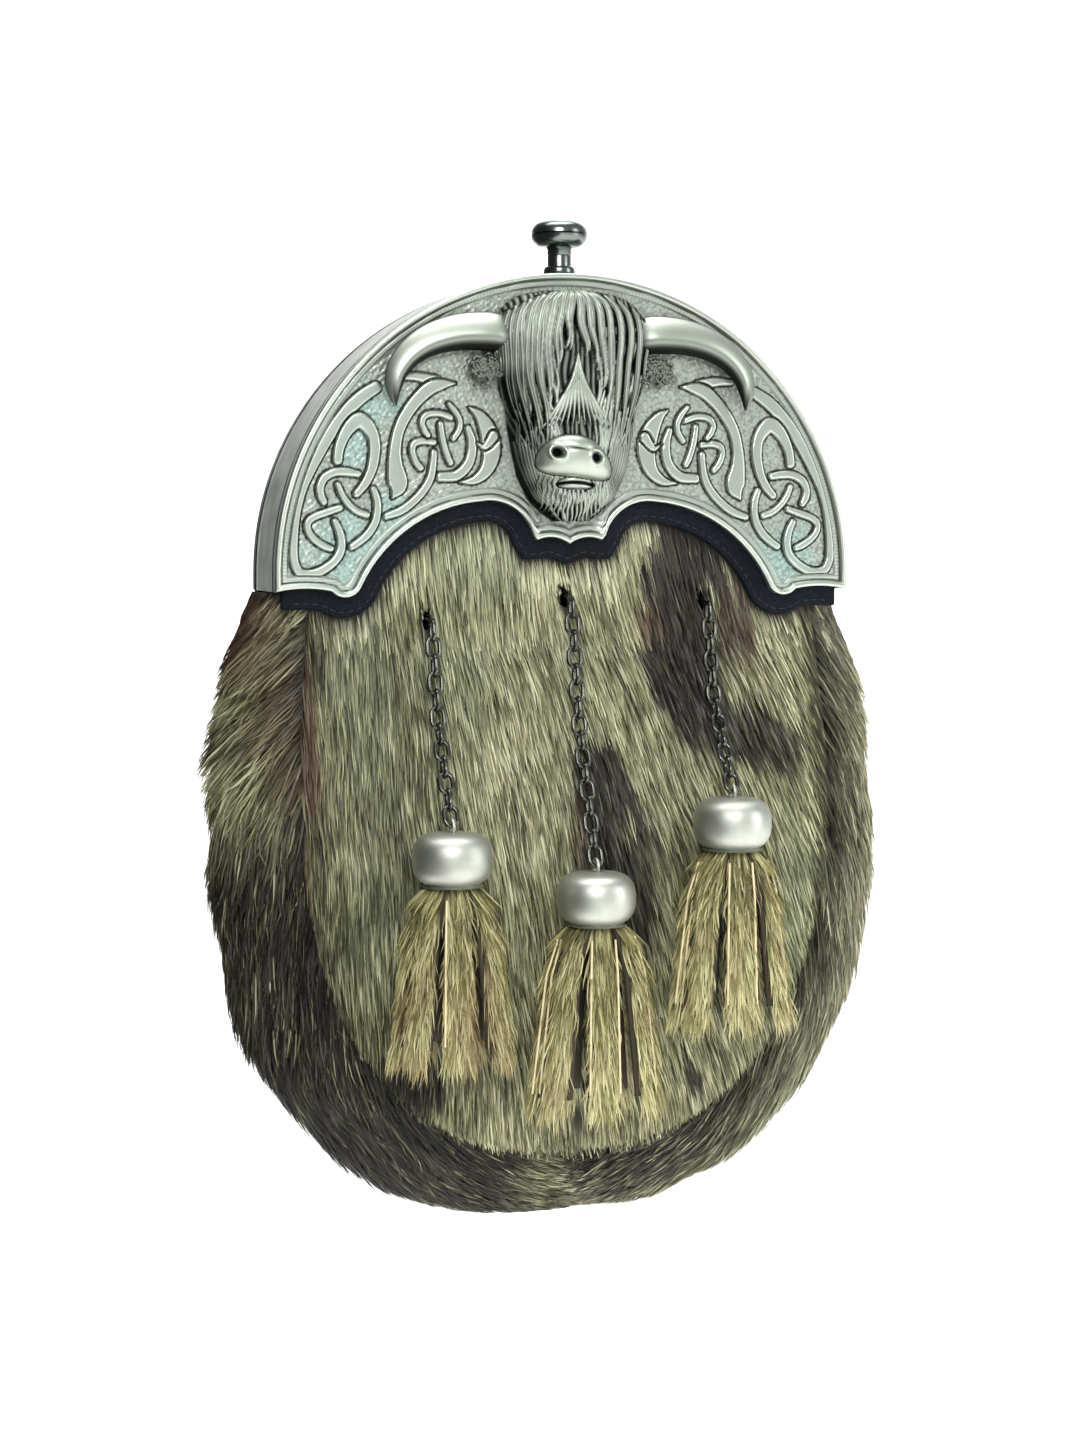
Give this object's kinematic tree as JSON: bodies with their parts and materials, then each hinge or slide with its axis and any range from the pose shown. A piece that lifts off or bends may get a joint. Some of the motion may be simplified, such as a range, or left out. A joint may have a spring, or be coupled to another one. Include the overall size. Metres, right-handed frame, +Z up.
{
  "type": "sporran pouch",
  "caption": "Dress sporran: a fur pouch with a half-round cast cantle, a press knob, a cow head casting and fur tassels on chains.",
  "frame": {"origin": "midway between the two strap keepers, on the back face of the leather back, level with the centre of the cantle's half circle", "axes": "+Z up as worn, -Y to the front, +X to the right as seen from the front"},
  "size_m": [0.1776, 0.0685, 0.2572],
  "materials": {
    "pewter": "cast antique pewter, pale on the raised work and dark in the recesses",
    "dark_pewter": "cast pewter, darkened in the recesses",
    "pewter_satin": "satin pewter",
    "knob_pewter": "polished dark pewter",
    "cap_pewter": "satin spun metal",
    "gunmetal": "darkened steel wire",
    "apron_leather": "pebbled navy-black leather",
    "back_leather": "plain black leather",
    "coat_fur": "fur on the hide, olive grey to cream with brown-black patches",
    "tassel_fur": "blond fur on narrow strips of hide"
  },
  "bodies": {
    "pouch": {"cantle_plate": "pewter", "cow_head_mount": "dark_pewter", "cantle_band": "pewter_satin", "back_arch": "pewter_satin", "knob_collar": "knob_pewter", "leather_apron": "apron_leather", "back_panel": "back_leather", "strap_loop_left": "back_leather", "strap_loop_right": "back_leather", "front_panel": "coat_fur", "gusset": "coat_fur", "chain_left": "gunmetal", "tassel_cap_left": "cap_pewter", "tassel_left": "tassel_fur", "chain_centre": "gunmetal", "tassel_cap_centre": "cap_pewter", "tassel_centre": "tassel_fur", "chain_right": "gunmetal", "tassel_cap_right": "cap_pewter", "tassel_right": "tassel_fur"},
    "knob": {"clasp_knob": "knob_pewter"}
  },
  "joints": [
    {"name": "knob_press", "type": "slide", "parent": "pouch", "child": "knob", "axis": [0, 0, -1], "range_m": [0, 0.003], "stiffness_N_per_m": 800, "springref_m": -0.001}
  ]
}
